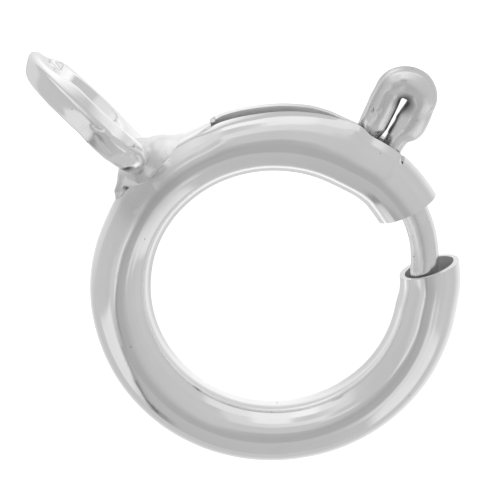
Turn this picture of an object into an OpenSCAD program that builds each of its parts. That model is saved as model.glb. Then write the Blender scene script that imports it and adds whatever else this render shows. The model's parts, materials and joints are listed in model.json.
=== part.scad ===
// Spring ring clasp: a round tube with a slot, a sprung bolt and a soldered eyelet.
// Millimetres. The clasp lies on its side, on the eyelet and on the far side of the tube.
// Angles run anticlockwise seen from above, from the eyelet's side, about the ring's centre.

/* [Ring tube] */
// Outside diameter of the ring
ring_d = 13; // [12:0.1:14]
// Outside diameter of the tube that the ring is bent from
tube_d = 2.15; // [2.1:0.05:2.25]
// Thickness of the tube's wall
tube_wall = 0.19; // [0.15:0.01:0.2]
// Angle of the tube's mouth, which takes the bolt's tip
mouth_a = 232.1; // [225:0.1:236]
// Slant of the mouth's cut, off the ring's radius
mouth_slant = 8.8; // [0:0.1:12]
// Angle of the tube's other end, which the bolt comes out of
arm_a = -103.3; // [-105:0.1:-99]

/* [Slot in the outer rim] */
// Angle of the slot's end that the trigger rests at
slot_rest_a = -89.1; // [-90:0.1:-88.9]
// Angle of the slot's end towards the eyelet
slot_open_a = -25.3; // [-28:0.1:-22]
// Clear width between the spread lips, at their tops
lip_gap = 0.92; // [0.9:0.01:1]
// Height of the lips above the tube's centre line
lip_h = 1.22; // [1.15:0.01:1.3]

/* [Eyelet] */
// Outside diameter of the eyelet
eyelet_d = 5.85; // [5.8:0.01:5.9]
// Diameter of the eyelet's wire
eyelet_wire = 1.13; // [0.9:0.01:1.3]
// Distance from the ring's centre to the eyelet's centre
eyelet_reach = 9.13; // [9.1:0.01:9.17]
// Turn of the eyelet away from the ring's radius, seen from above
eyelet_turn = 0.3; // [-4:0.1:4]
// Lean of the eyelet's upper half towards the trigger
eyelet_lean = 9; // [0:0.1:12]
// Radius of the lump of solder between the eyelet and the tube
solder_r = 0.82; // [0.7:0.01:0.9]

/* [Bolt and trigger] */
// Diameter of the bolt's wire
bolt_d = 0.95; // [0.9:0.01:1]
// Radius of the arc that the bolt is bent to
bolt_arc_r = 4.16; // [4.14:0.01:4.18]
// Distance of that arc's centre from the ring's centre
bolt_shift = 1.59; // [1.57:0.01:1.6]
// Diameter of the wire in the trigger's bend
trigger_d = 1; // [0.96:0.01:1.02]
// Radius of the trigger's bend, at the wire's centre line
bend_r = 0.6; // [0.59:0.01:0.64]
// Distance from the ring's centre to the centre of the bend
bend_reach = 8.3; // [8.25:0.01:8.4]

/* [Spring] */
// Number of turns of the coil
spring_turns = 14; // [8:1:16]
// Diameter of the spring's wire
spring_wire = 0.16; // [0.12:0.01:0.16]
// Radius of the coil, at the wire's centre line
coil_r = 0.58; // [0.5:0.01:0.6]

/* [Hidden] */
$fn = 96;
ring_r = (ring_d - tube_d) / 2;
tube_r = tube_d / 2;
bore_r = tube_r - tube_wall;
// The lips leave the round tube a little above its widest height, a bit inside its surface.
lip_foot_h = 0.25;
lip_foot_z = tube_r - 0.045;
lip_cut_z = bore_r - 0.055;
// The mouth's cutter is wider than the tube, and the tube first runs on past the cut.
mouth_spare = 4;
cutter = tube_d * 2;
// The bolt's wire is cut off with flat ends; angles from the shifted centre.
bolt_shift_a = -91.7;
bolt_tip_a = -60;
bolt_rear_a = 31;
// The head at the bolt's rear end, which the spring presses on.
head_a = -69.3;
head_r = 0.72;
head_l = 0.3;
// The trigger leans by this much from the ring's radius; its feet enter the slot side by side.
trigger_a = -71.3;
bend_a = -78.6;
leg_l = 1.2;
foot_l = 2.75;
foot_front_d = 0.62;
foot_front_x = 0.48;
foot_rear_d = 0.78;
foot_rear_x = -0.48;
// The plug of solder in the bore, which the spring's fixed end stands on.
plug_a = 12;
plug_sweep = 10;
plug_lap = 0.06;
solder_reach = 6.32;
solder_a = 2;
eyelet_r = (eyelet_d - eyelet_wire) / 2;
// The coil runs from the head's back to the plug, with a small gap at each end.
end_gap = 0.03;
arc_mm = PI * ring_r / 180;
spring_start_a = head_a + (head_l / 2 + spring_wire / 2 + end_gap) / arc_mm;
spring_end_a = plug_a - (spring_wire / 2 + end_gap) / arc_mm;
dead_a = spring_wire * 1.15 / arc_mm;
coil_steps = 12;
wire_sides = 6;
// At rest the tube and the eyelet both touch the floor, so the ring lies a few degrees off level.
first_tilt = asin((eyelet_d - tube_d) / 2 / (ring_r + eyelet_reach));
lean_z = -sin(eyelet_turn) * cos(eyelet_lean) * sin(first_tilt) + sin(eyelet_lean) * cos(first_tilt);
eyelet_drop = eyelet_r * sqrt(1 - lean_z * lean_z) + eyelet_wire / 2;
rest_tilt = asin((eyelet_drop - tube_r) / (ring_r + eyelet_reach));
lean_x = -sin(eyelet_turn) * cos(eyelet_lean) * cos(rest_tilt) - sin(eyelet_lean) * sin(rest_tilt);
eyelet_end = eyelet_r * sqrt(1 - lean_x * lean_x) + eyelet_wire / 2;
rest_h = ring_r * sin(rest_tilt) + tube_r;
far_x = -ring_r * cos(rest_tilt) - tube_r;
near_x = eyelet_reach * cos(rest_tilt) + eyelet_end;
far_y = ring_r + tube_r;
near_y = bend_reach * sin(bend_a) - bend_r - trigger_d / 2;

// Puts the flat ring into its resting place, with the origin under the middle of the whole clasp.
module at_rest() {
    translate([-(far_x + near_x) / 2, -(far_y + near_y) / 2, rest_h])
        rotate([0, -rest_tilt, 0])
            children();
}

// Sweeps a profile drawn at the tube's centre round the ring, from one angle to another.
module round_ring(from_a, to_a) {
    rotate_extrude(start = from_a, angle = to_a - from_a)
        translate([ring_r, 0])
            children();
}

module tube_profile() {
    difference() {
        circle(r = tube_r);
        circle(r = bore_r);
    }
}

// The slotted part of the tube, with its cut edges spread and standing up as two lips.
module slot_profile() {
    lip_z = lip_gap / 2 + tube_wall;
    difference() {
        union() {
            circle(r = tube_r);
            polygon([
                [0, -lip_foot_z],
                [lip_foot_h, -lip_foot_z],
                [lip_h, -lip_z],
                [lip_h, lip_z],
                [lip_foot_h, lip_foot_z],
                [0, lip_foot_z]
            ]);
        }
        circle(r = bore_r);
        polygon([
            [0, -lip_cut_z],
            [lip_foot_h, -lip_cut_z],
            [lip_h, -lip_gap / 2],
            [tube_d, -lip_gap / 2],
            [tube_d, lip_gap / 2],
            [lip_h, lip_gap / 2],
            [lip_foot_h, lip_cut_z],
            [0, lip_cut_z]
        ]);
    }
}

// A block that takes the tube off along the mouth's slanted plane.
module mouth_cut() {
    rotate([0, 0, mouth_a])
        translate([ring_r, 0, 0])
            rotate([0, 0, mouth_slant])
                translate([-cutter / 2, 0, -cutter / 2])
                    cube([cutter, tube_d, cutter]);
}

// The eyelet's wire ring, standing on edge on the tube's outer side.
module eyelet_ring() {
    translate([eyelet_reach, 0, 0])
        rotate([0, 0, eyelet_turn])
            rotate([90 + eyelet_lean, 0, 0])
                rotate_extrude()
                    translate([eyelet_r, 0])
                        circle(r = eyelet_wire / 2);
}

module case() {
    color("silver")
        at_rest() {
            round_ring(arm_a, slot_rest_a)
                tube_profile();
            round_ring(slot_rest_a, slot_open_a)
                slot_profile();
            difference() {
                round_ring(slot_open_a, mouth_a + mouth_spare)
                    tube_profile();
                mouth_cut();
            }
            difference() {
                union() {
                    eyelet_ring();
                    rotate([0, 0, solder_a])
                        translate([solder_reach, 0, 0])
                            sphere(r = solder_r);
                }
                round_ring(-20, 20)
                    circle(r = bore_r + plug_lap);
            }
            round_ring(plug_a, plug_a + plug_sweep)
                circle(r = bore_r + plug_lap);
        }
}

// One leg of the trigger: the thick wire above the lips and the thinner foot in the slot.
module trigger_leg(leg_x, foot_x, foot_d) {
    translate([-leg_l, leg_x, 0])
        rotate([0, 90, 0])
            cylinder(h = leg_l, r = trigger_d / 2);
    translate([-foot_l, foot_x, 0])
        rotate([0, 90, 0])
            cylinder(h = foot_l - leg_l / 2, r = foot_d / 2);
}

module bolt() {
    color("gainsboro")
        at_rest() {
            rotate([0, 0, bolt_shift_a])
                translate([bolt_shift, 0, 0])
                    rotate_extrude(start = bolt_tip_a, angle = bolt_rear_a - bolt_tip_a)
                        translate([bolt_arc_r, 0])
                            circle(r = bolt_d / 2);
            rotate([0, 0, head_a])
                translate([ring_r, -head_l / 2, 0])
                    rotate([-90, 0, 0])
                        cylinder(h = head_l, r = head_r);
            rotate([0, 0, bend_a])
                translate([bend_reach, 0, 0])
                    rotate([0, 0, trigger_a - bend_a]) {
                        rotate_extrude(start = -90, angle = 180)
                            translate([bend_r, 0])
                                circle(r = trigger_d / 2);
                        trigger_leg(-bend_r, -foot_front_x, foot_front_d);
                        trigger_leg(bend_r, -foot_rear_x, foot_rear_d);
                    }
        }
}

// Angle of the coil's centre line after a number of turns: one close turn at each end.
function coil_a(turns) =
    turns < 1 ? spring_start_a + dead_a * turns :
    turns > spring_turns - 1 ? spring_end_a - dead_a * (spring_turns - turns) :
    spring_start_a + dead_a
        + (turns - 1) / (spring_turns - 2) * (spring_end_a - spring_start_a - 2 * dead_a);

// A point on the wire's surface: round the ring, round the coil and round the wire.
function wire_point(step, side) =
    let(
        turns = step / coil_steps,
        turn_a = 360 * turns,
        side_a = 360 * side / wire_sides,
        out = coil_r + spring_wire / 2 * cos(side_a),
        along = spring_wire / 2 * sin(side_a) / arc_mm,
        at_a = coil_a(turns) + along,
        reach = ring_r + out * cos(turn_a)
    )
    [reach * cos(at_a), reach * sin(at_a), out * sin(turn_a)];

module spring() {
    last = coil_steps * spring_turns;
    points = [for (step = [0:last]) for (side = [0:wire_sides - 1]) wire_point(step, side)];
    skin = [
        for (step = [0:last - 1])
            for (side = [0:wire_sides - 1])
                let(
                    next = (side + 1) % wire_sides,
                    low = step * wire_sides,
                    high = low + wire_sides
                )
                for (half = [[low + side, low + next, high + next], [low + side, high + next, high + side]])
                    half
    ];
    first_cap = [for (side = [wire_sides - 1:-1:0]) side];
    last_cap = [for (side = [0:wire_sides - 1]) last * wire_sides + side];
    color("dimgray")
        at_rest()
            polyhedron(points = points, faces = concat(skin, [first_cap, last_cap]));
}

case();
bolt();
spring();
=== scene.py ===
import json
import math

import bpy
import numpy as np
from mathutils import Matrix


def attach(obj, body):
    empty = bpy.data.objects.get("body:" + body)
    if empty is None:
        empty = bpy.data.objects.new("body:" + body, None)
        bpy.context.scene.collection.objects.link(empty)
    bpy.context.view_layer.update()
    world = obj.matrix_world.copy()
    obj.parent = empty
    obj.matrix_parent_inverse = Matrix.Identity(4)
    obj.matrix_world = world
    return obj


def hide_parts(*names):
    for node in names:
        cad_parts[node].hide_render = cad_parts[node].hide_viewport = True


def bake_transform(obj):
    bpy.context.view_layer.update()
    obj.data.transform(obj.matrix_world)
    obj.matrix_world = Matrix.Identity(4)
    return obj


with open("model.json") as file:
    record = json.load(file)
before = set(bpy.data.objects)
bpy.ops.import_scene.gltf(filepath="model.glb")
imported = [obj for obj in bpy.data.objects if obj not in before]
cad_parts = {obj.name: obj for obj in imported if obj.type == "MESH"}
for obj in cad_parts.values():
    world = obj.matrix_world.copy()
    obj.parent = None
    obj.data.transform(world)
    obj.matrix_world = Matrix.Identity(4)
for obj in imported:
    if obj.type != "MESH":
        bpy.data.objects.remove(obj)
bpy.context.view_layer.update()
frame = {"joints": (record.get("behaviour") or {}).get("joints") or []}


# The camera looks down on the ring, 19 degrees off the ring's own axis, from
# the slot's side, through a long lens. The clasp lies tilted on its eyelet, and
# the bolt's joint gives the ring's centre and axis.
MM = 0.001
bolt_slide = frame["joints"][0]
ring_centre = np.array(bolt_slide["pos_m"]) / MM
lie_tilt = math.asin(-bolt_slide["axis"][0])
eyelet_at = 135.3
lie_turn = math.radians(-eyelet_at)
turn_part = np.array([
    [math.cos(lie_turn), -math.sin(lie_turn), 0.0],
    [math.sin(lie_turn), math.cos(lie_turn), 0.0],
    [0.0, 0.0, 1.0],
])
tilt_part = np.array([
    [math.cos(lie_tilt), 0.0, -math.sin(lie_tilt)],
    [0.0, 1.0, 0.0],
    [math.sin(lie_tilt), 0.0, math.cos(lie_tilt)],
])
lie = tilt_part @ turn_part


def laid(points):
    """Millimetres in the ring's own frame (x right and y up as the clasp is pictured, z along
    the ring's axis) become metres as the clasp lies: turned, tilted and moved to its place."""
    return (np.asarray(points) @ lie.T + ring_centre) * MM


camera_lean = math.radians(19.0)
camera_distance = 250.0
sensor_width = 36.0
picture_mm = 17.66
picture_middle = np.array([-0.848, 1.272])

towards_camera = np.array([0.0, math.sin(camera_lean), math.cos(camera_lean)])
picture_up = np.array([0.0, math.cos(camera_lean), -math.sin(camera_lean)])
picture_right = np.array([1.0, 0.0, 0.0])
looked_at = picture_middle[0] * picture_right + picture_middle[1] * picture_up

camera_data = bpy.data.cameras.new("camera")
camera_data.sensor_width = sensor_width
camera_data.lens = sensor_width * camera_distance / picture_mm
camera_data.clip_start = 0.01
camera_data.clip_end = 20.0
camera = bpy.data.objects.new("camera", camera_data)
camera_place = np.eye(4)
camera_place[:3, 0] = lie @ picture_right
camera_place[:3, 1] = lie @ picture_up
camera_place[:3, 2] = lie @ towards_camera
camera_place[:3, 3] = laid(looked_at + camera_distance * towards_camera)
camera.matrix_world = Matrix(camera_place.tolist())
bpy.context.scene.collection.objects.link(camera)
bpy.context.scene.camera = camera
bpy.context.scene.view_settings.view_transform = "Standard"


# The ring tube: a thin-walled silver tube bent to a ring, cut off a little
# aslant at the arm and at the mouth, and slit along the outer rim for the
# trigger. The slit's edges are spread and stand up as two lips.
ring_radius = 5.425
tube_radius = 1.075
tube_wall = 0.19
arm_at = 32.0
mouth_at = 367.4
mouth_slant = math.tan(math.radians(8.8))
arm_slant = math.tan(math.radians(6.0))
arm_flat = 0.08
arm_shift = 0.14
mouth_shift = 0.10
slit_from = 46.2
slit_to = 110.0
slit_half = math.radians(29.0)
lips_end = slit_to + 6.5
lip_half_width = 0.58
near_curl = -0.16
curl_from = 65.0
far_curl = 0.10
bend_from = math.radians(88.0)

# The lips: angle round the ring, height of the near lip, height of the far lip.
lip_at, near_lip_height, far_lip_height = np.array([
    (46.2, 1.17, 1.06), (48.8, 1.22, 1.10), (54.5, 1.24, 1.12), (59.4, 1.24, 1.13), (61.5, 1.32, 1.11),
    (63.3, 1.42, 1.10), (66.0, 1.38, 1.09), (68.5, 1.34, 1.11), (73.0, 1.32, 1.17), (79.0, 1.27, 1.19),
    (87.0, 1.20, 1.15), (96.0, 1.12, 1.10), (103.0, 1.09, 1.08), (108.0, 1.07, 1.04), (117.0, 1.00, 0.97),
]).T

# The dented outer side: angle round the ring, how far the side stands out.
dent_at, dent_out = np.array([
    (142.0, 0.0), (151.0, -0.045), (157.0, -0.070), (164.0, -0.040), (172.0, -0.020), (184.0, 0.010),
    (200.0, 0.020), (213.0, 0.050), (237.0, 0.060), (250.0, 0.042), (266.0, 0.015), (282.0, 0.0),
]).T

# The film of solder on the tube: its middle, by angle round the ring and round the tube.
film_middle = (141.0, 52.0)


# Sterling silver: tumbled on the case, with drawing lines on the wires, and rough on the solder.
def grey(level):
    """A neutral colour of the given level."""
    return (level, level, level, 1.0)


def feed(tree, socket, source):
    """Gives a node's input its source, which is another node's output or a plain value."""
    if isinstance(source, bpy.types.NodeSocket):
        tree.links.new(source, socket)
    else:
        socket.default_value = source


def math_node(tree, operation, *sources):
    """The output of a new math node, whose inputs take the sources in turn."""
    node = tree.nodes.new("ShaderNodeMath")
    node.operation = operation
    for socket, source in zip(node.inputs, sources):
        feed(tree, socket, source)
    return node.outputs["Value"]


def mix_node(tree, kind, share, under, over):
    """The output of a new mix of two colours (RGBA) or two values (FLOAT): under where share is
    0, over where it is 1."""
    node = tree.nodes.new("ShaderNodeMix")
    node.data_type = kind
    first_input, output = {"FLOAT": (2, 0), "RGBA": (6, 2)}[kind]
    feed(tree, node.inputs[0], share)
    feed(tree, node.inputs[first_input], under)
    feed(tree, node.inputs[first_input + 1], over)
    return node.outputs[output]


def range_node(tree, value, low, high, to_low=0.0, to_high=1.0, way="LINEAR"):
    """The output of a new map range: to_low where value is low, to_high where it is high."""
    node = tree.nodes.new("ShaderNodeMapRange")
    node.interpolation_type = way
    names = ("Value", "From Min", "From Max", "To Min", "To Max")
    for name, source in zip(names, (value, low, high, to_low, to_high)):
        feed(tree, node.inputs[name], source)
    return node.outputs["Result"]


def noise_node(tree, place, scale, detail, roughness=0.5):
    """The output of a new noise texture at a place."""
    node = tree.nodes.new("ShaderNodeTexNoise")
    names = ("Vector", "Scale", "Detail", "Roughness")
    for name, source in zip(names, (place, scale, detail, roughness)):
        feed(tree, node.inputs[name], source)
    return node.outputs["Fac"]


def make_tumbled_group():
    """Node group: the marks that tumbling leaves on silver. Fine hairlines are two stretched
    noises, pits are the dark centres of small cells, and a slow noise gives cloudy patches."""
    group = bpy.data.node_groups.new("tumbled_marks", "ShaderNodeTree")
    face = group.interface
    face.new_socket("Place", in_out="INPUT", socket_type="NodeSocketVector")
    for name, value in (("Cloud", 900.0), ("Hairline", 9000.0), ("Pit", 1700.0), ("Pit Size", 0.05)):
        socket = face.new_socket(name, in_out="INPUT", socket_type="NodeSocketFloat")
        socket.default_value = value
    for name in ("Clouds", "Hairlines", "Pits", "Height"):
        face.new_socket(name, in_out="OUTPUT", socket_type="NodeSocketFloat")
    given = group.nodes.new("NodeGroupInput").outputs
    leave = group.nodes.new("NodeGroupOutput")

    clouds = noise_node(group, given["Place"], given["Cloud"], 3.0)

    hairs = []
    for turn, stretch in (((0.3, 0.2, 0.5), (1.0, 0.05, 0.3)), ((0.9, -0.4, 1.7), (0.06, 1.0, 0.4))):
        map_hair = group.nodes.new("ShaderNodeMapping")
        map_hair.inputs["Rotation"].default_value = turn
        map_hair.inputs["Scale"].default_value = stretch
        feed(group, map_hair.inputs["Vector"], given["Place"])
        hair = noise_node(group, map_hair.outputs["Vector"], given["Hairline"], 2.0)
        hairs.append(range_node(group, hair, 0.62, 0.72))
    hairlines = math_node(group, "MAXIMUM", *hairs)

    cells = group.nodes.new("ShaderNodeTexVoronoi")
    feed(group, cells.inputs["Vector"], given["Place"])
    feed(group, cells.inputs["Scale"], given["Pit"])
    near = math_node(group, "LESS_THAN", cells.outputs["Distance"], given["Pit Size"])
    chosen = group.nodes.new("ShaderNodeSeparateColor")
    feed(group, chosen.inputs["Color"], cells.outputs["Color"])
    few = math_node(group, "GREATER_THAN", chosen.outputs["Red"], 0.8)
    pits = math_node(group, "MULTIPLY", near, few)

    depth = math_node(group, "MULTIPLY_ADD", hairlines, 0.35, pits)
    height = math_node(group, "SUBTRACT", clouds, depth)

    for name, result in (("Clouds", clouds), ("Hairlines", hairlines), ("Pits", pits), ("Height", height)):
        feed(group, leave.inputs[name], result)
    return group


tumbled_marks = make_tumbled_group()


def make_silver(name, pale, dull, rough, rough_more, bump, cloud=900.0, pit_size=0.05,
                drawn=0.0, grain=0.0, metal=1.0, stains=()):
    """Silver as a material: a grey between pale and dull by the clouds, darker in pits,
    roughness raised by clouds and hairlines, and a fine bump. drawn adds lines along the wire
    from the piece's own UV map, and grain adds the coarse skin of cast solder. Each stain names
    an attribute of the piece, and gives the grey, the added roughness and the lost shine where
    it is 1."""
    material = bpy.data.materials.new(name)
    material.use_nodes = True
    tree = material.node_tree
    shader = tree.nodes["Principled BSDF"]
    shader.inputs["Metallic"].default_value = metal
    place = tree.nodes.new("ShaderNodeTexCoord").outputs
    marks = tree.nodes.new("ShaderNodeGroup")
    marks.node_tree = tumbled_marks
    for socket_name, source in (("Place", place["Object"]), ("Cloud", cloud), ("Pit Size", pit_size)):
        feed(tree, marks.inputs[socket_name], source)

    tint = mix_node(tree, "RGBA", marks.outputs["Clouds"], grey(dull), grey(pale))
    skin_tint = mix_node(tree, "RGBA", marks.outputs["Pits"], tint, grey(0.38))
    dulled = math_node(tree, "MULTIPLY_ADD", marks.outputs["Hairlines"], 0.5, marks.outputs["Clouds"])
    skin_rough = range_node(tree, dulled, 0.3, 1.2, rough, rough + rough_more)
    for stain_name, stain_tint, stain_rough, lost_shine in stains:
        stained = tree.nodes.new("ShaderNodeAttribute")
        stained.attribute_name = stain_name
        mask = stained.outputs["Fac"]
        skin_tint = mix_node(tree, "RGBA", mask, skin_tint, grey(stain_tint))
        skin_rough = math_node(tree, "MULTIPLY_ADD", mask, stain_rough, skin_rough)
        if lost_shine:
            pickled = math_node(tree, "MULTIPLY_ADD", mask, -lost_shine, 1.0)
            feed(tree, shader.inputs["Metallic"], pickled)
    feed(tree, shader.inputs["Base Color"], skin_tint)
    feed(tree, shader.inputs["Roughness"], skin_rough)

    relief = marks.outputs["Height"]
    if drawn:
        along = tree.nodes.new("ShaderNodeMapping")
        along.inputs["Scale"].default_value = (1.6, 26.0, 1.0)
        feed(tree, along.inputs["Vector"], place["UV"])
        lines = noise_node(tree, along.outputs["Vector"], 1.0, 3.0, 0.6)
        relief = math_node(tree, "MULTIPLY_ADD", lines, drawn, relief)
    if grain:
        skin = noise_node(tree, place["Object"], 3800.0, 4.0)
        relief = math_node(tree, "MULTIPLY_ADD", skin, grain, relief)
    ridge = tree.nodes.new("ShaderNodeBump")
    ridge.inputs["Strength"].default_value = bump
    ridge.inputs["Distance"].default_value = 0.004 * MM
    feed(tree, ridge.inputs["Height"], relief)
    feed(tree, shader.inputs["Normal"], ridge.outputs["Normal"])
    return material


def lumps(points, size, seed, waves=20):
    """Slow random swelling of a surface, about -1 to 1: the sum of plane sine waves with
    random directions and phases, each about size millimetres long."""
    draw = np.random.default_rng(seed)
    heading = draw.normal(size=(waves, 3))
    heading /= np.linalg.norm(heading, axis=1, keepdims=True)
    pace = 2 * np.pi / (size * draw.uniform(0.7, 1.5, waves))
    start = draw.uniform(0, 2 * np.pi, waves)
    return np.sin(points @ (heading * pace[:, None]).T + start).sum(-1) / math.sqrt(waves * 2)


def ease(value, start=0.0, end=1.0):
    """0 up to start, 1 from end on, and a smooth S between them; end may be the smaller one."""
    share = np.clip((value - start) / (end - start), 0.0, 1.0)
    return share * share * (3 - 2 * share)


def to_line(points, start, end):
    """Distance from each point to the nearest point of the line from start to end."""
    line = end - start
    share = np.clip((points - start) @ line / max(line @ line, 1e-9), 0.0, 1.0)
    return np.linalg.norm(points - start - share[..., None] * line, axis=-1)


def patch(angle, section, middle, size):
    """A mask over the ring: 1 at the middle, which is an angle round the ring and one round the
    tube in degrees, and falling off steeply at the given size each way."""
    return (np.exp(-((angle - middle[0]) / size[0]) ** 4)
            * np.exp(-((section - middle[1]) / size[1]) ** 4))


def grid(rows, columns):
    """The row's value and the column's value at each place of a grid."""
    return np.meshgrid(rows, columns, indexing="ij")


def add_piece(name, points, faces, material, body, uv=None, stains=()):
    """Puts points (millimetres, ring frame) and faces into a new smooth-shaded mesh object, with
    its UV map and its stains, which are pairs of an attribute's name and its values."""
    mesh = bpy.data.meshes.new(name)
    mesh.from_pydata(laid(points).tolist(), [], faces)
    mesh.shade_smooth()
    if uv is not None:
        layer = mesh.uv_layers.new(name="along")
        corner = np.empty(len(mesh.loops), dtype=np.int32)
        mesh.loops.foreach_get("vertex_index", corner)
        layer.data.foreach_set("uv", uv[corner].astype(np.float32).ravel())
    for stain_name, values in stains:
        stain = mesh.attributes.new(stain_name, "FLOAT", "POINT")
        stain.data.foreach_set("value", np.ascontiguousarray(values, dtype=np.float32))
    mesh.materials.append(material)
    piece = bpy.data.objects.new(name, mesh)
    bpy.context.scene.collection.objects.link(piece)
    if body:
        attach(piece, body)
    return piece


def grid_faces(rows, columns, close_rows=False, close_columns=False):
    """Quads of a grid of rows x columns points, numbered row by row."""
    row = np.arange(rows if close_rows else rows - 1)
    column = np.arange(columns if close_columns else columns - 1)
    row, column = grid(row, column)
    next_row = (row + 1) % rows
    next_column = (column + 1) % columns
    quads = np.stack([row * columns + column, row * columns + next_column,
                      next_row * columns + next_column, next_row * columns + column], -1)
    return quads.reshape(-1, 4)


# The tube's stains: a solder tint beside the joint, and a painted dark line that stands in for a dark
# reflection.
tube_silver = make_silver("tumbled_silver_tube", 0.93, 0.88, 0.07, 0.10, 0.35,
                          stains=(("near_solder", 0.67, 0.17, 0.0), ("crease", 0.10, 0.2, 0.0)))
# The bore is painted darker away from the slot: painted shade deep in the tube.
bore_silver = make_silver("pickled_silver_bore", 0.97, 0.72, 0.42, 0.15, 0.8, cloud=1400.0,
                          grain=0.8, metal=0.1, stains=(("deep_bore", 0.54, 0.1, 0.0),))

slit_columns = 10
round_columns = 58
lip_columns = 26
around = np.concatenate([
    np.linspace(-slit_half, slit_half, 2 * slit_columns, endpoint=False),
    np.linspace(slit_half, bend_from, lip_columns, endpoint=False),
    np.linspace(bend_from, 2 * np.pi - bend_from, round_columns, endpoint=False),
    np.linspace(2 * np.pi - bend_from, 2 * np.pi - slit_half, lip_columns, endpoint=False),
])
along = np.concatenate([
    np.linspace(arm_at, slit_from, 16, endpoint=False),
    np.linspace(slit_from, slit_to, 72, endpoint=False),
    np.linspace(slit_to, mouth_at, 262),
])


def rounded_line(angle, at, value, spread):
    """The broken line that takes each value at its angle, with its corners rounded: its mean
    over a bell curve of the given spread in degrees."""
    offset = np.linspace(-2.4, 2.4, 13)
    weight = np.exp(-0.5 * offset ** 2)
    return sum(part * np.interp(angle + spread * aside, at, value)
               for part, aside in zip(weight / weight.sum(), offset))


def out_of_round(angle, section):
    """How far the tube's outer side stands out, by angle round the ring in degrees: it is
    dented beside the solder, fuller opposite the slot, and unchanged on its inner side."""
    return rounded_line(angle, dent_at, dent_out, 3.0) * ease(0.3 + 1.1 * np.cos(section))


def tube_skin(angle, section):
    """The tube's outer skin. A point is on the ring's circle at angle (degrees), plus the tube's
    radius turned by section (0 outwards, a quarter turn up). Between bend_from and the slit the
    skin is pulled towards the lip's top, half by the square of how near it is to the slit's edge
    and half by the cosine, which makes the lip bulge. The near lip's edge rolls in, the far one's
    away. The arm is flattened inside, and both ends of the tube stand out from the circle."""
    turned = (section + np.pi) % (2 * np.pi) - np.pi
    folded = np.abs(turned)
    straight = np.clip((bend_from - folded) / (bend_from - slit_half), 0.0, 1.0) ** 2
    bulging = np.maximum(np.cos(folded), 0.0) / math.cos(slit_half)
    nearness = np.minimum(0.5 * straight + 0.5 * bulging, 1.0)
    raised = nearness * ease(angle, slit_from, slit_from + 3.0) * ease(angle, lips_end, lips_end - 10.0)
    over = np.clip(turned / slit_half, -1.0, 1.0)
    lift = ((1 + over) / 2 * rounded_line(angle, lip_at, near_lip_height, 1.1)
            + (1 - over) / 2 * rounded_line(angle, lip_at, far_lip_height, 1.1))
    out = tube_radius * np.cos(section) + raised * (lift - tube_radius * math.cos(slit_half))
    spread = lip_half_width - tube_radius * math.sin(slit_half)
    up = tube_radius * np.sin(section) + raised * over * spread
    at_edge = np.clip((1.5 - folded / slit_half) / 0.5, 0.0, 1.0)
    rolled = near_curl * (0.30 + 0.70 * ease(angle, curl_from, curl_from + 9.0))
    curl = np.where(over > 0, rolled * at_edge ** 1.1, -far_curl * at_edge ** 1.5)
    up = up + curl * raised * np.abs(over) ** 3
    out = out - arm_flat * ease(angle, 52.0, arm_at) * np.maximum(-np.cos(section), 0.0)
    out = out + out_of_round(angle, section) * np.cos(section)
    up = up + out_of_round(angle, section) * np.sin(section)
    shift = arm_shift * ease(angle, 62.0, 42.0) + mouth_shift * ease(angle, 350.0, 364.0)
    reach = ring_radius + out + shift
    slant = mouth_slant * ease(angle, 345.0, 365.0) - arm_slant * ease(angle, 47.0, arm_at)
    final = np.radians(angle) + out / reach * slant
    surface = np.stack([reach * np.cos(final), reach * np.sin(final), up], -1)
    outward = np.stack([np.cos(section) * np.cos(final), np.cos(section) * np.sin(final),
                        np.sin(section)], -1)
    swell = 0.006 * lumps(surface, 4.5, 11) + 0.0016 * lumps(surface, 1.1, 12)
    return surface + outward * swell[..., None]


angle_grid, section_grid = grid(along, around)
tube_points = tube_skin(angle_grid, section_grid)
tube_quads = grid_faces(len(along), len(around), close_columns=True)
quad_row = tube_quads[:, 0] // len(around)
quad_column = tube_quads[:, 0] % len(around)
open_slit = ((along[quad_row] >= slit_from - 1e-6) & (along[quad_row] < slit_to - 1e-6)
             & (quad_column < 2 * slit_columns))
tube_quads = tube_quads[~open_slit]
used = np.unique(tube_quads)
renumber = np.full(tube_points.size // 3, -1)
renumber[used] = np.arange(len(used))
near_solder = (patch(angle_grid, np.degrees(section_grid), film_middle, (13.0, 62.0))
               * (0.8 + 0.2 * lumps(tube_points, 0.9, 35)))
# Painted shade: the bore darkens with the distance from the slot's opening.
deep_bore = ease(np.abs(angle_grid - 78.0), 36.0, 46.0)
# A painted dark line on the tube's top at the lower left, standing in for a dark reflection; the surface
# has no dent under it.
crease_width = 0.045
crease_path = np.array([(-5.35, -1.94, 1.05), (-4.89, -3.17, 1.03), (-4.50, -3.94, 0.97),
                        (-4.12, -4.40, 0.96)])
crease = np.zeros(angle_grid.shape)
for start, end, strength in zip(crease_path, crease_path[1:], (0.25, 0.65, 0.80)):
    off_crease = to_line(tube_points, start, end) / crease_width
    crease = np.maximum(crease, strength * np.exp(-off_crease ** 2))
ring_tube = add_piece("ring_tube", tube_points.reshape(-1, 3)[used],
                      renumber[tube_quads][:, ::-1].tolist(), tube_silver, "case",
                      stains=(("near_solder", near_solder.ravel()[used]),
                              ("crease", crease.ravel()[used]),
                              ("deep_bore", deep_bore.ravel()[used])))
ring_tube.data.materials.append(bore_silver)
wall = ring_tube.modifiers.new("wall", "SOLIDIFY")
wall.thickness = tube_wall * MM
wall.offset = -1.0
wall.use_even_offset = True
wall.material_offset = 1
rounded = ring_tube.modifiers.new("rounded_edges", "BEVEL")
rounded.width = 0.03 * MM
rounded.segments = 3
rounded.limit_method = "ANGLE"
rounded.angle_limit = math.radians(50)
rounded.harden_normals = True
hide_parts("case")


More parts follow.
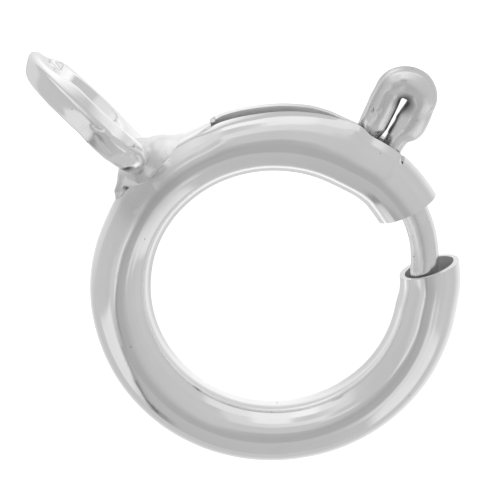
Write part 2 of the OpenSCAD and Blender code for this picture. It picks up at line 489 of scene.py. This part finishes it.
# The eyelet: a ring of silver wire, soldered on edge to the tube's outer side
# and leaning a little, squared away from the solder and marked by tools.
eyelet_reach = 9.13
eyelet_radius = 2.36
eyelet_wire = 0.565
eyelet_turn = 0.3
eyelet_lean = math.radians(9.0)

# The eyelet's stain paints the hole at its foot near black: painted shade.
eyelet_silver = make_silver("worn_silver_eyelet", 0.93, 0.86, 0.09, 0.12, 0.5, pit_size=0.07,
                            stains=(("flux_hole", 0.05, 0.3, 0.0),))


def in_plane(reach, degrees):
    """The point of the ring's plane at a distance from its centre and an angle."""
    return reach * np.array([math.cos(math.radians(degrees)), math.sin(math.radians(degrees)), 0.0])


def all_round(count):
    """Angles all the way round in equal steps."""
    return np.linspace(0, 2 * np.pi, count, endpoint=False)


eyelet_middle = in_plane(eyelet_reach, eyelet_at)
eyelet_flat = in_plane(1.0, eyelet_at + eyelet_turn)
across_flat = np.array([-eyelet_flat[1], eyelet_flat[0], 0.0])
eyelet_high = np.array([0.0, 0.0, math.cos(eyelet_lean)]) - math.sin(eyelet_lean) * across_flat
eyelet_axis = np.cross(eyelet_flat, eyelet_high)


def eyelet_place(turn, section, size):
    """A point of the torus: the wire's centre goes round by turn from the outermost point, and
    the point lies size away from it, round the wire by section from the torus's outer side."""
    spoke = np.cos(turn)[..., None] * eyelet_flat + np.sin(turn)[..., None] * eyelet_high
    outward = np.cos(section)[..., None] * spoke + np.sin(section)[..., None] * eyelet_axis
    return eyelet_middle + eyelet_radius * spoke + size[..., None] * outward, outward


def pressed(points, start, end, width):
    """A tool mark: 1 on the line from start to end, falling off with the distance from it as a
    bell curve of the given width."""
    return np.exp(-(to_line(points, start, end) / width) ** 2)


# Tool marks: turn and section in degrees at the start and at the end, width, depth.
eyelet_marks = (
    ((88.0, 3.0), (93.0, 12.0), 0.065, 0.110),
    ((94.0, -22.0), (112.0, -44.0), 0.060, 0.070),
    ((124.0, -4.0), (160.0, 10.0), 0.300, 0.070),
    ((60.0, -55.0), (84.0, -62.0), 0.260, 0.030),
    ((101.0, 12.0), (109.0, 2.0), 0.110, -0.025),
    ((212.0, 40.0), (238.0, 20.0), 0.240, 0.045),
    ((158.0, 14.0), (176.0, 4.0), 0.260, 0.110),
)
# A hole burnt into the solder at the eyelet's foot: its start and its end. Its inside is painted near
# black as painted shade.
flux_hole = np.array([-5.20, 4.93, 1.80]), np.array([-5.09, 4.97, 1.84])


def eyelet_skin(turn, section):
    """The torus with a wire that is squared where it is far from the solder, one corner near
    the outer side, and worn flat on one side at the far end as far as the wire's joint; lumps
    grow towards the solder, tool marks are pressed in, and it is flat where it stands."""
    soldered = ease(-np.cos(turn), -0.2, 1.0)
    short_turn = np.degrees((turn + np.pi) % (2 * np.pi) - np.pi)
    far_end = ease(np.abs(short_turn), 38.0, 0.0)
    power = 8.0 - 6.0 * soldered - 4.6 * far_end
    facing = section + np.radians(33.0)
    cornered = (np.abs(np.cos(facing)) ** power + np.abs(np.sin(facing)) ** power) ** (-1 / power)
    size = (0.455 + 0.095 * soldered + 0.030 * far_end) * cornered
    bare, outward = eyelet_place(turn, section, size)
    swell = ((0.006 + 0.020 * soldered) * lumps(bare, 1.6, 21)
             + 0.006 * soldered * lumps(bare, 0.5, 22))
    swell = swell - 0.10 * pressed(bare, *flux_hole, 0.13)
    for start, end, width, depth in eyelet_marks:
        ends = [eyelet_place(*np.radians(np.array(at))[:, None], np.array([eyelet_wire]))[0][0]
                for at in (start, end)]
        swell = swell - depth * pressed(bare, ends[0], ends[1], width)
    worn = 0.27 * ease(short_turn, -45.0, -41.0) * ease(short_turn, 58.0, 22.0)
    too_far = np.maximum(size * np.sin(section) - (0.56 - worn), 0.0)
    skin = bare + outward * swell[..., None] - too_far[..., None] * eyelet_axis
    sunk = np.minimum(skin @ lie[2] + ring_centre[2], 0.0)
    return skin - sunk[..., None] * lie[2]


eyelet_rows, eyelet_sides = 320, 72
turn_grid, wire_grid = grid(all_round(eyelet_rows), all_round(eyelet_sides))
eyelet_points = eyelet_skin(turn_grid, wire_grid)
eyelet_ring = add_piece("eyelet_ring", eyelet_points.reshape(-1, 3),
                        grid_faces(eyelet_rows, eyelet_sides, True, True)[:, ::-1].tolist(),
                        eyelet_silver, "case",
                        stains=(("flux_hole", pressed(eyelet_points, *flux_hole, 0.16).ravel()),))
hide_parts("case")


# The solder: it has run between the eyelet's wire and the tube, fills the
# corner on both sides and lies thin and mottled over the tube. Its skin is
# found along lines out from the tube's middle; its underside is in the wall.
solder_at = 134.0
solder_middle = in_plane(6.55, solder_at)
solder_along = in_plane(1.0, solder_at + 90.0)
solder_foot = 0.97
soft_joint = 0.24
soft_bead = 0.12
search_step = 0.03
# Pits: place, size. Beads: start, end, size.
solder_pits = (((-5.21, 3.80, 0.42), 0.075), ((-5.10, 3.82, 0.46), 0.075))
solder_beads = (
    ((-4.72, 4.42, 0.66), (-4.72, 4.44, 0.66), 0.18),
    ((-5.28, 4.05, 0.20), (-5.45, 3.60, 0.17), 0.22),
    ((-5.45, 3.60, 0.17), (-5.80, 2.72, 0.10), 0.12),
    ((-4.35, 5.00, 0.20), (-3.85, 5.18, 0.10), 0.10),
)

# The solder's stains: a pickled web, pale and less shiny, and painted shade in its pits.
solder_silver = make_silver("run_solder", 0.90, 0.58, 0.22, 0.24, 0.5, cloud=1500.0,
                            pit_size=0.10, grain=0.6,
                            stains=(("pickled_web", 0.97, 0.1, 0.75), ("flux_in_pits", 0.05, 0.3, 0.0)))


def solder_depth(points):
    """Distance, in millimetres, to the solder's skin, below 0 inside it. It is the smooth
    smallest of the distances to the tube, to the eyelet's wire, to a ball between them and to
    some beads, and it sinks below both metals with the distance from the joint."""
    reach = np.hypot(points[..., 0], points[..., 1])
    to_tube = np.hypot(reach - ring_radius, points[..., 2]) - tube_radius
    local = points - eyelet_middle
    flat = np.hypot(local @ eyelet_flat, local @ eyelet_high)
    to_wire = np.hypot(flat - eyelet_radius, local @ eyelet_axis) - eyelet_wire
    offset = points - solder_middle
    sidelong = offset @ solder_along
    away = np.sqrt((offset ** 2).sum(-1) - sidelong ** 2 * np.where(sidelong < 0, 0.78, 0.62))
    near_by = (np.exp(-to_tube / soft_joint) + np.exp(-to_wire / soft_joint)
               + np.exp(-(away - 0.50) / soft_joint))
    for start, end, size in solder_beads:
        to_bead = to_line(points, np.array(start), np.array(end)) - size
        near_by = near_by + 0.4 * np.exp(-to_bead / soft_bead)
    return -soft_joint * np.log(near_by) + 0.03 + 0.36 * ease(away, 0.66, 1.61)


def from_tube_middle(angle, section, size):
    """Points at a distance from the tube's middle line, at an angle round the ring and a
    section angle round the tube (0 outwards, a quarter turn up)."""
    reach = ring_radius + size * np.cos(section)
    return np.stack([reach * np.cos(angle), reach * np.sin(angle), size * np.sin(section)], -1)


solder_place = grid(np.linspace(112.0, 164.0, 170), np.linspace(-105.0, 125.0, 150))
solder_angle, solder_section = np.radians(solder_place)
solder_size = np.full(solder_angle.shape, solder_foot)
for size in np.arange(solder_foot, 3.0, search_step):
    inside = solder_depth(from_tube_middle(solder_angle, solder_section, size + search_step)) < 0
    unbroken = np.abs(solder_size - size) < 1e-6
    solder_size = np.where(inside & unbroken, size + search_step, solder_size)
low, high = solder_size, solder_size + search_step
for _ in range(10):
    middle = (low + high) / 2
    inside = solder_depth(from_tube_middle(solder_angle, solder_section, middle)) < 0
    low, high = np.where(inside, middle, low), np.where(inside, high, middle)
bare_solder = from_tube_middle(solder_angle, solder_section, low)
spread = patch(*solder_place, film_middle, (12.0, 58.0))
film = (tube_radius - 0.050 + 0.050 * spread + 0.020 * spread * lumps(bare_solder, 0.9, 34)
        + out_of_round(solder_place[0], solder_section))
rough = 0.026 * lumps(bare_solder, 0.8, 31) + 0.013 * lumps(bare_solder, 0.34, 32)
for pit, size in solder_pits:
    rough = rough - 1.3 * size * np.exp(-((bare_solder - pit) ** 2).sum(-1) / size ** 2)
mound = low + rough * ease(low, solder_foot, solder_foot + 0.1)
solder_size = np.maximum(mound, film)
solder_size[[0, -1]] = solder_foot
solder_size[:, [0, -1]] = solder_foot
solder_rows, solder_columns = solder_angle.shape
upper_skin = from_tube_middle(solder_angle, solder_section, solder_size).reshape(-1, 3)
under_skin = from_tube_middle(solder_angle, solder_section, solder_foot - 0.03).reshape(-1, 3)
solder_upper = grid_faces(solder_rows, solder_columns)
upper_count = len(upper_skin)
border = np.concatenate([
    np.arange(solder_columns),
    np.arange(1, solder_rows) * solder_columns + solder_columns - 1,
    (solder_rows - 1) * solder_columns + np.arange(solder_columns - 2, -1, -1),
    np.arange(solder_rows - 2, 0, -1) * solder_columns,
])
border_next = np.roll(border, -1)
solder_faces = np.concatenate([
    solder_upper[:, ::-1], solder_upper + upper_count,
    np.stack([border, border_next, border_next + upper_count, border + upper_count], -1),
])
# Painted shade: the solder's pits are painted near black.
flux_in_pits = sum(0.6 * np.exp(-(((upper_skin - pit) ** 2).sum(-1) / (1.25 * size) ** 2) ** 2)
                   for pit, size in solder_pits)
flux_in_pits = np.minimum(flux_in_pits, 1.0)
pickled_web = (patch(*solder_place, (121.0, 5.0), (8.0, 40.0)).ravel()
               * (0.8 + 0.2 * lumps(upper_skin, 0.5, 36)))
run_solder = add_piece("run_solder", np.concatenate([upper_skin, under_skin]), solder_faces.tolist(),
                       solder_silver, "case",
                       stains=[(stain, np.append(mask, np.zeros(upper_count))) for stain, mask in
                               (("flux_in_pits", flux_in_pits), ("pickled_web", pickled_web))])
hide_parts("case")


# The spring's seat: a plug of solder that fills the tube's bore beside the
# eyelet. The spring's fixed end stands on it. It is hidden in the tube.
seat_from = 147.3
seat_to = 157.3
seat_radius = 0.92
seat_rows, seat_sides = 14, 48

seat_silver = make_silver("seat_solder", 0.80, 0.66, 0.30, 0.20, 0.5, cloud=1500.0, grain=0.8)
seat_angle, seat_section = grid(np.radians(np.linspace(seat_from, seat_to, seat_rows)),
                                all_round(seat_sides))
seat_points = from_tube_middle(seat_angle, seat_section, seat_radius)
seat_last = (seat_rows - 1) * seat_sides
seat_caps = [list(range(seat_sides)), list(range(seat_last + seat_sides - 1, seat_last - 1, -1))]
seat_faces = grid_faces(seat_rows, seat_sides, close_columns=True)[:, ::-1].tolist() + seat_caps
spring_seat = add_piece("spring_seat", seat_points.reshape(-1, 3), seat_faces,
                        seat_silver, "case")
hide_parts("case")


# The spring: a coil of thin hard wire inside the tube, between the bolt's
# head and its seat. Its end turns lie close. The bolt squeezes it.
coil_radius = 0.58
spring_wire = 0.08
spring_turns = 14
spring_from = 68.92
spring_to = seat_from - 1.16
close_turn = 1.95
turn_steps = 28
wire_sides = 10

spring_metal = make_silver("drawn_spring_wire", 0.62, 0.52, 0.16, 0.10, 0.3, drawn=0.6)

turns = np.linspace(0, spring_turns, spring_turns * turn_steps + 1)
open_part = np.clip((turns - 1) / (spring_turns - 2), 0, 1)
lay = (spring_from + close_turn * np.clip(turns, 0, 1)
       + open_part * (spring_to - spring_from - 2 * close_turn)
       + close_turn * np.clip(turns - spring_turns + 1, 0, 1))
turn_angle, side_angle = grid(2 * np.pi * turns, all_round(wire_sides))
out = coil_radius + spring_wire * np.cos(side_angle)
lay_grid = np.radians(lay)[:, None] + spring_wire * np.sin(side_angle) / ring_radius
reach = ring_radius + out * np.cos(turn_angle)
spring_points = np.stack([reach * np.cos(lay_grid), reach * np.sin(lay_grid),
                          out * np.sin(turn_angle)], -1)
spring_uv = np.stack([turn_angle / 2, side_angle / (2 * np.pi)], -1).reshape(-1, 2)
spring_last = (len(turns) - 1) * wire_sides
spring_faces = grid_faces(len(turns), wire_sides, close_columns=True).tolist()
spring_faces += [list(range(wire_sides - 1, -1, -1)), list(range(spring_last, spring_last + wire_sides))]
coil_spring = add_piece("coil_spring", spring_points.reshape(-1, 3), spring_faces,
                        spring_metal, None, spring_uv)
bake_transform(coil_spring)
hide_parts("spring")


# The bolt: one silver wire. Its front closes the ring's gap and enters the
# mouth; behind the arm's end it turns out through the slit, is bent double
# to make the trigger, turns back in, and ends in a head for the spring.
bolt_wire = 0.495
bolt_arc = 4.16
bolt_arc_middle = in_plane(1.59, 43.6)[:2]
bend_middle = in_plane(8.42, 56.8)[:2]
bend_radius = 0.615
bend_start = 0.12
leg_at = 64.0
leg_axis = in_plane(1.0, leg_at)[:2]
leg_side = in_plane(1.0, leg_at + 90.0)[:2]
head_radius = 0.72
head_length = 0.30
run_step = 0.03

# The bolt's stain is painted shade in the trigger's slit and bend and on the left leg's outer edge, with
# small dark spots.
bolt_silver = make_silver("drawn_silver_bolt", 0.90, 0.83, 0.20, 0.14, 0.6, pit_size=0.06,
                          drawn=2.0, stains=(("left_polish", 0.22, 0.25, 0.0),))


def arc_points(low_angle, high_angle, count):
    """Points on the bolt's own arc, at angles (degrees) from the ring's right."""
    at = np.radians(np.linspace(low_angle, high_angle, count))
    return bolt_arc_middle + bolt_arc * np.stack([np.cos(at), np.sin(at)], -1)


def leg_points(down, off):
    """Points on one leg, by distance down from the bend's middle and sideways offset."""
    return bend_middle - down[:, None] * leg_axis + off[:, None] * leg_side


# Each leg: distance down from the bend's middle, distance sideways, half width, half height.
front_down, front_off, front_wide, front_tall = np.array([
    (bend_start, -bend_radius, 0.505, 0.47),
    (0.40, -0.620, 0.545, 0.47),
    (0.86, -0.595, 0.573, 0.47),
    (1.08, -0.550, 0.543, 0.47),
    (1.25, -0.445, 0.445, 0.44),
    (1.55, -0.400, 0.390, 0.39),
    (1.82, -0.397, 0.373, 0.34),
    (2.02, -0.405, 0.360, 0.30),
    (2.45, -0.460, 0.330, 0.28),
]).T
rear_down, rear_off, rear_wide, rear_tall = np.array([
    (bend_start, bend_radius, 0.505, 0.47),
    (0.50, 0.587, 0.525, 0.47),
    (1.00, 0.568, 0.512, 0.48),
    (1.35, 0.575, 0.505, 0.46),
    (1.60, 0.590, 0.475, 0.38),
    (1.80, 0.578, 0.435, 0.31),
    (2.00, 0.560, 0.400, 0.29),
    (2.40, 0.500, 0.390, 0.30),
]).T
bolt_run = arc_points(-16.4, 43.0, 160)
bend_at = np.linspace(-np.pi / 2, np.pi / 2, 42)[1:-1, None]
bend_run = (bend_middle - bend_start * leg_axis
            + bend_radius * (np.cos(bend_at) * leg_axis + np.sin(bend_at) * leg_side))
rear_run = arc_points(64.0, 74.6, 30)
route = np.concatenate([bolt_run, leg_points(front_down, front_off)[::-1], bend_run,
                        leg_points(rear_down, rear_off), rear_run])
bend_out = np.cos(bend_at[:, 0])
wide, tall = (np.concatenate([np.full(len(bolt_run), bolt_wire), front[::-1], bend, rear,
                              np.full(len(rear_run), bolt_wire)])
              for front, bend, rear in ((front_wide, 0.505 + 0.085 * bend_out, rear_wide),
                                        (front_tall, 0.47 + 0.03 * bend_out, rear_tall)))
run = np.concatenate([[0], np.cumsum(np.linalg.norm(np.diff(route, axis=0), axis=1))])
run_even = np.arange(0, run[-1], run_step)
route, wide, tall = (np.stack([np.interp(run_even, run, line) for line in lines], -1)
                     for lines in (route.T, [wide], [tall]))


def relaxed(lines, spread):
    """A path or a width along it, smoothed by a bell curve of the given spread (mm); its two
    ends stay where they are."""
    reach = int(3 * spread / run_step)
    bell = np.exp(-0.5 * (np.arange(-reach, reach + 1) * run_step / spread) ** 2)
    before = 2 * lines[:1] - lines[reach:0:-1]
    after = 2 * lines[-1:] - lines[-2:-reach - 2:-1]
    lines = np.concatenate([before, lines, after])
    return np.stack([np.convolve(line, bell / bell.sum(), "valid") for line in lines.T], -1)


route, wide, tall = relaxed(route, 0.12), relaxed(wide, 0.06)[:, 0], relaxed(tall, 0.06)[:, 0]
heading = np.gradient(route, axis=0)
heading /= np.linalg.norm(heading, axis=1, keepdims=True)
sideways = np.stack([heading[:, 1], -heading[:, 0]], -1)
run_length = np.concatenate([[0], np.cumsum(np.linalg.norm(np.diff(route, axis=0), axis=1))])
head_run = run_length > run_length[-1] - head_length
wide, tall = np.where(head_run, head_radius, wide), np.where(head_run, head_radius, tall)
in_mouth = ease(run_length, 0.85, 0.0)
wide, tall = wide - 0.10 * in_mouth, tall - 0.10 * in_mouth


def swept_wire(middle, side_way, half_wide, half_tall, seed, rough):
    """A wire about a path: at each point of the path an oval of the given half sizes, in the
    ring's plane and along its axis, square to the path, with lumps and drawing ridges on it."""
    about = all_round(64)
    side_way = np.append(side_way, np.zeros((len(side_way), 1)), 1)
    outward = (np.cos(about)[None, :, None] * side_way[:, None]
               + np.sin(about)[None, :, None] * np.array([0, 0, 1.0]))
    oval = np.stack([half_wide, half_wide, half_tall], -1)[:, None]
    bare = middle[:, None] + oval * outward
    swell = rough[:, None] * lumps(bare, 1.1, seed) + 0.3 * rough[:, None] * lumps(bare, 0.4, seed + 1)
    along_wire = np.arange(len(middle))[:, None] * run_step
    ridges = (np.cos(6 * about + 1.3 + 0.5 * np.sin(along_wire)) + np.cos(9 * about + 0.2 * along_wire)
              + 0.6 * np.cos(14 * about + 2.1 + 0.2 * along_wire))
    return bare + outward * (swell + 0.0040 * ridges)[..., None], about


raised_tip = 0.26 * ease(run_length, 5.5, 2.0) - 0.14 * in_mouth
from_ring = np.hypot(route[:, 0], route[:, 1])
sunk_foot = 0.08 * np.exp(-((from_ring - 6.10) / 0.42) ** 4) * ease(run_length, 4.5, 5.5)
wire_middle = np.concatenate([route, (raised_tip - sunk_foot)[:, None]], 1)
rough_wire = 0.003 + 0.007 * ease(run_length, 5.0, 6.5)
wire_points, about = swept_wire(wire_middle, sideways, wide, tall, 41, rough_wire)
# Tool marks: start, end, width, depth.
trigger_marks = (
    ((3.42, 6.64, 0.34), (3.46, 6.52, 0.36), 0.09, 0.060),
    ((3.64, 6.64, 0.42), (3.72, 6.68, 0.44), 0.07, 0.030),
    ((4.60, 7.45, 0.47), (4.05, 7.20, 0.46), 0.16, 0.022),
    ((5.42, 6.40, 0.30), (5.46, 6.52, 0.26), 0.07, 0.035),
)
wire_out = wire_points - wire_middle[:, None]
wire_out /= np.linalg.norm(wire_out, axis=-1, keepdims=True)
for start, end, width, depth in trigger_marks:
    mark = depth * pressed(wire_points, np.array(start), np.array(end), width)
    wire_points = wire_points - wire_out * mark[..., None]
tip_ring = wire_points[0]
tip_middle = tip_ring.mean(0)
ahead = np.append(-heading[0], 0.0)
cap_rings = [tip_middle + (tip_ring - tip_middle) * shrink + ahead * out_by
             for shrink, out_by in ((0.4, 0.052), (0.82, 0.045), (0.93, 0.028))]
wire_points = np.concatenate([np.array(cap_rings), wire_points])
count_along, count_about = wire_points.shape[:2]
wire_run = np.concatenate([[-0.06, -0.05, -0.03], run_length])
wire_uv = np.stack(np.broadcast_arrays(wire_run[:, None], about[None] / (2 * np.pi)), -1).reshape(-1, 2)
wire_uv = np.concatenate([wire_uv, [[-0.07, 0.5], [run_length[-1], 0.5]]])
tip, rear_end = count_along * count_about, count_along * count_about + 1
wire_flat = np.concatenate([wire_points.reshape(-1, 3),
                            [wire_points[0].mean(0), wire_points[-1].mean(0)]])
wire_faces = grid_faces(count_along, count_about, close_columns=True)[:, ::-1]
first = np.arange(count_about)
after = (first + 1) % count_about
tail = (count_along - 1) * count_about
wire_faces = (wire_faces.tolist()
              + np.stack([np.full(count_about, tip), first, after], -1).tolist()
              + np.stack([np.full(count_about, rear_end), tail + after, tail + first], -1).tolist())

# Painted shade lies in the trigger's slit and bend, where the legs shade each other, and small dark spots
# lie on the trigger.
bend_top, bend_foot = (np.append(leg_points(np.array([down]), np.array([-0.03]))[0], 0.0)
                       for down in (0.18, 1.38))
from_slit = to_line(wire_flat * (1, 1, 0), bend_top, bend_foot)
from_bend = to_line(wire_flat * (1, 1, 0), bend_top, bend_top)
in_slit = ease(from_slit, 0.10, 0.03)
in_bend = 0.92 * ease(from_bend, 0.58, 0.10)
# Painted shade on the outer edge of the trigger's left leg, away from the ring, where its reflection is
# darker.
leg_off = (wire_flat[:, :2] - bend_middle) @ leg_side
tarnish = (0.35 * ease(leg_off, 0.85, 1.05)
           * ease(np.hypot(wire_flat[:, 0], wire_flat[:, 1]), 6.2, 7.2))
left_polish = np.maximum(np.maximum(in_slit, in_bend), tarnish)
# Dark spots: place, size, strength.
dirt_spots = (
    ((3.42, 6.60, 0.35), 0.060, 0.60),
    ((5.48, 6.70, 0.30), 0.050, 0.55),
    ((5.00, 6.30, 0.46), 0.055, 0.30),
    ((4.47, 7.75, 0.48), 0.060, 0.45),
    ((4.57, 7.76, 0.48), 0.060, 0.45),
    ((4.83, 8.10, 0.10), 0.050, 0.45),
)
for dirt_at, size, strength in dirt_spots:
    off_dirt = np.linalg.norm(wire_flat - dirt_at, axis=1)
    left_polish = np.maximum(left_polish, strength * np.exp(-(off_dirt / size) ** 2))
bolt_and_trigger = add_piece("bolt_and_trigger", wire_flat, wire_faces, bolt_silver, "bolt",
                             wire_uv, (("left_polish", left_polish),))
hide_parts("bolt")


# The floor and the light: a plain white table under an even soft light. For the metal's reflections the
# table glows in a painted pool of light about the ring and in painted spots of light; the camera sees it
# glow evenly.
# The metal sees a tent that is grey overhead and paler towards the table.
floor_mesh = bpy.data.meshes.new("white_table")
half_table = 3.0
floor_mesh.from_pydata([(-half_table, -half_table, 0), (half_table, -half_table, 0),
                        (half_table, half_table, 0), (-half_table, half_table, 0)], [], [(0, 1, 2, 3)])
table_paper = bpy.data.materials.new("white_paper")
table_paper.use_nodes = True
paper_tree = table_paper.node_tree
paper = paper_tree.nodes["Principled BSDF"]
paper.inputs["Base Color"].default_value = grey(0.55)
paper.inputs["Roughness"].default_value = 0.9
paper.inputs["Specular IOR Level"].default_value = 0.0
paper.inputs["Emission Color"].default_value = grey(1.0)
paper_place = paper_tree.nodes.new("ShaderNodeTexCoord")


def ramp_node(tree, source, stops):
    """The output of a new grey ramp, whose stops are pairs of place and level."""
    node = tree.nodes.new("ShaderNodeValToRGB")
    feed(tree, node.inputs["Fac"], source)
    elements = node.color_ramp.elements
    while len(elements) < len(stops):
        elements.new(0.5)
    for element, (stop, level) in zip(elements, stops):
        element.position = stop
        element.color = grey(level)
    return node.outputs["Color"]


def paper_distance(middle):
    """How far the table's points are from a point, in metres."""
    far = paper_tree.nodes.new("ShaderNodeVectorMath")
    far.operation = "DISTANCE"
    far.inputs[1].default_value = tuple(middle)
    feed(paper_tree, far.inputs[0], paper_place.outputs["Object"])
    return far.outputs["Value"]


# The painted pool of light about the ring, as the metal sees the table: distance, level.
pool_range = 24.0
pool_stops = ((0.0, 0.17), (3.9, 0.20), (4.8, 0.40), (7.2, 0.42), (8.2, 0.28), (9.5, 0.12), (12.0, 0.02))
pool_share = math_node(paper_tree, "DIVIDE", paper_distance(laid(np.zeros(3))), pool_range * MM)
table_glow = ramp_node(paper_tree, pool_share, [(away / pool_range, level) for away, level in pool_stops])
# Soft painted spots of light on the table: place, inner and outer distance, level.
table_spots = (
    ((-0.9, -3.5), 1.0, 3.4, 0.35),
    ((-4.5, 10.0), 2.5, 6.5, 0.32),
    ((1.5, 11.5), 1.2, 3.4, 0.35),
    ((-14.0, 5.0), 3.0, 9.0, 0.14),
    ((-9.5, 16.0), 3.0, 9.0, 0.30),
)
for spot_at, inner, outer, level in table_spots:
    spot_far = paper_distance(laid([*spot_at, 0.0]) * (1, 1, 0))
    spot = range_node(paper_tree, spot_far, inner * MM, outer * MM, level, 0.0, "SMOOTHSTEP")
    table_glow = math_node(paper_tree, "ADD", table_glow, spot)
seen_directly = paper_tree.nodes.new("ShaderNodeLightPath").outputs["Is Camera Ray"]
feed(paper_tree, paper.inputs["Emission Strength"],
     mix_node(paper_tree, "FLOAT", seen_directly, table_glow, 0.75))
floor_mesh.materials.append(table_paper)
white_table = bpy.data.objects.new("white_table", floor_mesh)
bpy.context.scene.collection.objects.link(white_table)

tent = bpy.data.worlds.new("light_tent")
tent.use_nodes = True
bpy.context.scene.world = tent
tent_tree = tent.node_tree
tent_tree.nodes.clear()
tent_out = tent_tree.nodes.new("ShaderNodeOutputWorld")
tent_light = tent_tree.nodes.new("ShaderNodeBackground")
look = tent_tree.nodes.new("ShaderNodeTexCoord")
ring_view = tent_tree.nodes.new("ShaderNodeMapping")
ring_view.inputs["Rotation"].default_value = (0.0, lie_tilt, -lie_turn)
feed(tent_tree, ring_view.inputs["Vector"], look.outputs["Generated"])
split = tent_tree.nodes.new("ShaderNodeSeparateXYZ")
feed(tent_tree, split.inputs["Vector"], ring_view.outputs["Vector"])
azimuth = math_node(tent_tree, "ARCTAN2", split.outputs["Y"], split.outputs["X"])
whole_turn = math_node(tent_tree, "MULTIPLY", azimuth, 0.5 / math.pi)
round_turn = math_node(tent_tree, "WRAP", whole_turn, 1.0, 0.0)

# The tent's layers: the height in degrees at which each begins, and its shades in percent by
# azimuth in degrees. Each layer fades into the one below over four degrees.
tent_layers = (
    (None, ((0, 60), (45, 61), (50, 80), (74, 84), (78, 92), (98, 92), (102, 98), (114, 98), (118, 84),
            (127, 80), (129, 78), (136, 72), (142, 61), (160, 57), (206, 59), (210, 80), (229, 80),
            (235, 66), (238, 33), (243, 33), (247, 50), (285, 55), (293, 56), (296, 82), (322, 82),
            (326, 61), (360, 60))),
    (28, ((0, 58), (56, 60), (60, 72), (74, 74), (79, 90), (98, 90), (102, 68), (112, 62), (129, 74),
          (136, 72), (142, 60), (160, 56), (206, 57), (210, 82), (229, 82), (232, 42), (236, 42),
          (240, 50), (285, 54), (292, 56), (295, 80), (320, 78), (325, 58), (360, 58))),
    (47, ((0, 58), (40, 60), (58, 62), (62, 72), (84, 74), (100, 76), (122, 80), (132, 60), (185, 55),
          (190, 62), (216, 64), (221, 62), (228, 52), (236, 44), (241, 50), (284, 55), (289, 74),
          (312, 74), (318, 56), (360, 56))),
    (61, ((0, 58), (60, 60), (118, 60), (126, 76), (146, 78), (156, 56), (180, 58), (188, 80),
          (224, 82), (230, 34), (240, 34), (246, 44), (285, 44), (310, 49), (340, 55), (360, 58))),
    (67, ((0, 58), (60, 60), (120, 60), (160, 53), (186, 48), (206, 42), (228, 44), (235, 40),
          (260, 44), (285, 44), (310, 49), (340, 55), (360, 58))),
    (84, ((0, 46), (360, 46))),
)
layered = None
for lower_edge, stops in tent_layers:
    shades = ramp_node(tent_tree, round_turn, [(at / 360, shade / 100) for at, shade in stops])
    if layered is None:
        layered = shades
        continue
    fade_from, fade_to = (math.sin(math.radians(lower_edge + aside)) for aside in (-2.0, 2.0))
    above = range_node(tent_tree, split.outputs["Z"], fade_from, fade_to)
    layered = mix_node(tent_tree, "FLOAT", above, layered, shades)
glossy = tent_tree.nodes.new("ShaderNodeLightPath").outputs["Is Glossy Ray"]
feed(tent_tree, tent_light.inputs["Color"], mix_node(tent_tree, "FLOAT", glossy, 1.05, layered))
feed(tent_tree, tent_out.inputs["Surface"], tent_light.outputs["Background"])
